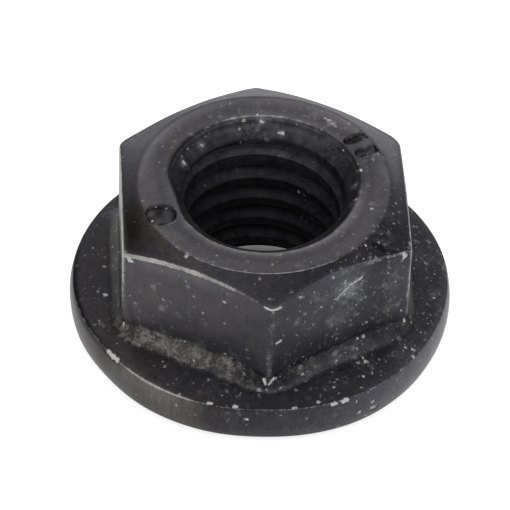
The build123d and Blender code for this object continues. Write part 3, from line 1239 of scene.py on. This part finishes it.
large = oxide.specks(bent, 3.1, 0.22 * crowd, 0.11)
soft = oxide.specks(bent, 2.3, 0.65 * crowd, 0.16)
haze = oxide.math("MAXIMUM", haze, 0.75 * soft * (0.4 + 1.2 * cloud))
# Chips, and among them a painted glint and painted highlights on the stamps' lips.
chip_and_highlight = oxide.ramp(flake_and_painted_light_here + 0.9 * (grain - 0.5) + 0.7 * (fine - 0.5), 0.3, 0.85)
# Painted shade in a dent, on dark streaks and just inside the stamps' edges.
painted_shade = oxide.ramp(0 - flake_and_painted_light_here, 0.05, 0.8)
speck_and_highlight = oxide.math("MAXIMUM", oxide.math("MAXIMUM", small, large), chip_and_highlight)
print("masks:", len(oxide.tree.nodes), "nodes")

# %% [markdown]
# One after another the masks change the colour, the roughness and the metal
# together. Dust is rough and is not metal, so where it lies the metal goes.

# %% The finish
SHADE_BLACK = (0.010, 0.010, 0.011, 1)
SCRAPED = (0.26, 0.255, 0.24, 1)
STEEL = (0.40, 0.40, 0.385, 1)
WIPED_DUST = (0.29, 0.30, 0.325, 1)
DUST_AND_HIGHLIGHT = (0.70, 0.70, 0.68, 1)
BUMP_HEIGHT = 0.004

# Painted shade goes on first; the specks and chips carry the painted highlights.
colour = oxide.blend(painted_shade * 0.85, film, SHADE_BLACK)
colour = oxide.blend(pale * (0.4 + 0.6 * oxide.ramp(fine, 0.35, 0.7)), colour, SCRAPED)
colour = oxide.blend(rubbed * (0.3 + patch), colour, STEEL)
colour = oxide.blend(haze * 0.64, colour, WIPED_DUST)
colour = oxide.blend(speck_and_highlight * 0.9, colour, DUST_AND_HIGHLIGHT)

dull = oxide.math("MINIMUM", speck_and_highlight + haze * 0.6 + pale * 0.5, 1.0)
roughness = 0.32 + 0.16 * grain + 0.10 * pale + 0.3 * dull + 0.2 * matt_here
height = 0.5 * grain + 0.25 * fine + 0.6 * speck_and_highlight
bump = oxide.node("ShaderNodeBump", {}, {"Strength": 0.8, "Distance": BUMP_HEIGHT * MM, "Height": height})
oxide.feed(
    oxide.shader,
    {"Base Color": colour, "Metallic": 1 - 0.95 * dull, "Roughness": roughness, "Normal": bump},
)
nut.data.materials.append(oxide.material)
print("black oxide:", len(oxide.tree.nodes), "nodes")

# %% [markdown]
# ## The stage
#
# A pale floor, a soft sky, and four lamps with white covers, as on a table for
# small goods. The floor also shines by itself, but only to the eye and in
# mirrors, so it looks white all over without lighting the nut. Under the nut
# it doesn't, because what the hole shows of it lies in shade.

# %% Floor and world
PLAIN_PAPER = (0.6, 0.6, 0.6, 1)
BLACK, WHITE = (0, 0, 0, 1), (1, 1, 1, 1)

bpy.ops.mesh.primitive_plane_add(size=4)
floor = bpy.context.object
floor.name = "floor"
paper = Recipe("paper")
spot = paper.node("ShaderNodeTexCoord", {}, {}, "Object")
lit = paper.ramp(paper.vector("LENGTH", {0: spot}, "Value"), 3.5 * MM, 6.0 * MM)
straight = paper.node("ShaderNodeLightPath", {}, {}, "Is Camera Ray")
mirrored = Value(paper, straight.socket.node.outputs["Is Glossy Ray"])
through = Value(paper, straight.socket.node.outputs["Is Transmission Ray"])
own_light = paper.blend(0.76 * lit * (straight + mirrored + through), BLACK, WHITE)
paper.feed(
    paper.shader,
    {
        "Base Color": PLAIN_PAPER,
        "Roughness": 1.0,
        "Specular IOR Level": 0.0,
        "Emission Color": own_light,
        "Emission Strength": 1.0,
    },
)
floor.data.materials.append(paper.material)

world = bpy.data.worlds.new("studio")
bpy.context.scene.world = world
world.use_nodes = True
sky = world.node_tree.nodes["Background"]
sky.inputs["Color"].default_value = WHITE
sky.inputs["Strength"].default_value = 0.45
print("floor:", len(paper.tree.nodes), "nodes")

# %% [markdown]
# The lamp behind is the broad reflection in the top face. The one in front
# lights the flats and the flange, and the two at the sides draw the edges.

# %% Lamps
def add_lamp(name, azimuth, elevation, distance, size, brightness):
    """A square lamp that faces the nut.

    Its brightness is that of its face, where white paper in plain light is 1.
    """
    azimuth, elevation = math.radians(azimuth), math.radians(elevation)
    level = math.cos(elevation)
    towards = Vector((level * math.cos(azimuth), level * math.sin(azimuth), math.sin(elevation)))
    lamp = bpy.data.lights.new(name, "AREA")
    lamp.shape = "SQUARE"
    lamp.size = size
    lamp.energy = brightness * math.pi * size**2
    held = bpy.data.objects.new(name, lamp)
    held.location = towards * distance
    held.rotation_euler = towards.to_track_quat("Z", "Y").to_euler()
    bpy.context.scene.collection.objects.link(held)
    print(name, round(lamp.energy, 2), "W")


add_lamp("back_lamp", 86, 47, 0.5, 0.32, 1.7)
add_lamp("front_lamp", -90, 60, 0.5, 0.3, 1.4)
add_lamp("left_lamp", 205, 35, 0.5, 0.35, 1.0)
add_lamp("right_lamp", -25, 35, 0.5, 0.35, 1.0)

# %% [markdown]
# ## Colour handling, and the end
#
# The Standard view transform leaves each colour as it was written, so the
# tones above can be judged as they are.

# %% Colour handling
bpy.context.scene.view_settings.view_transform = "Standard"
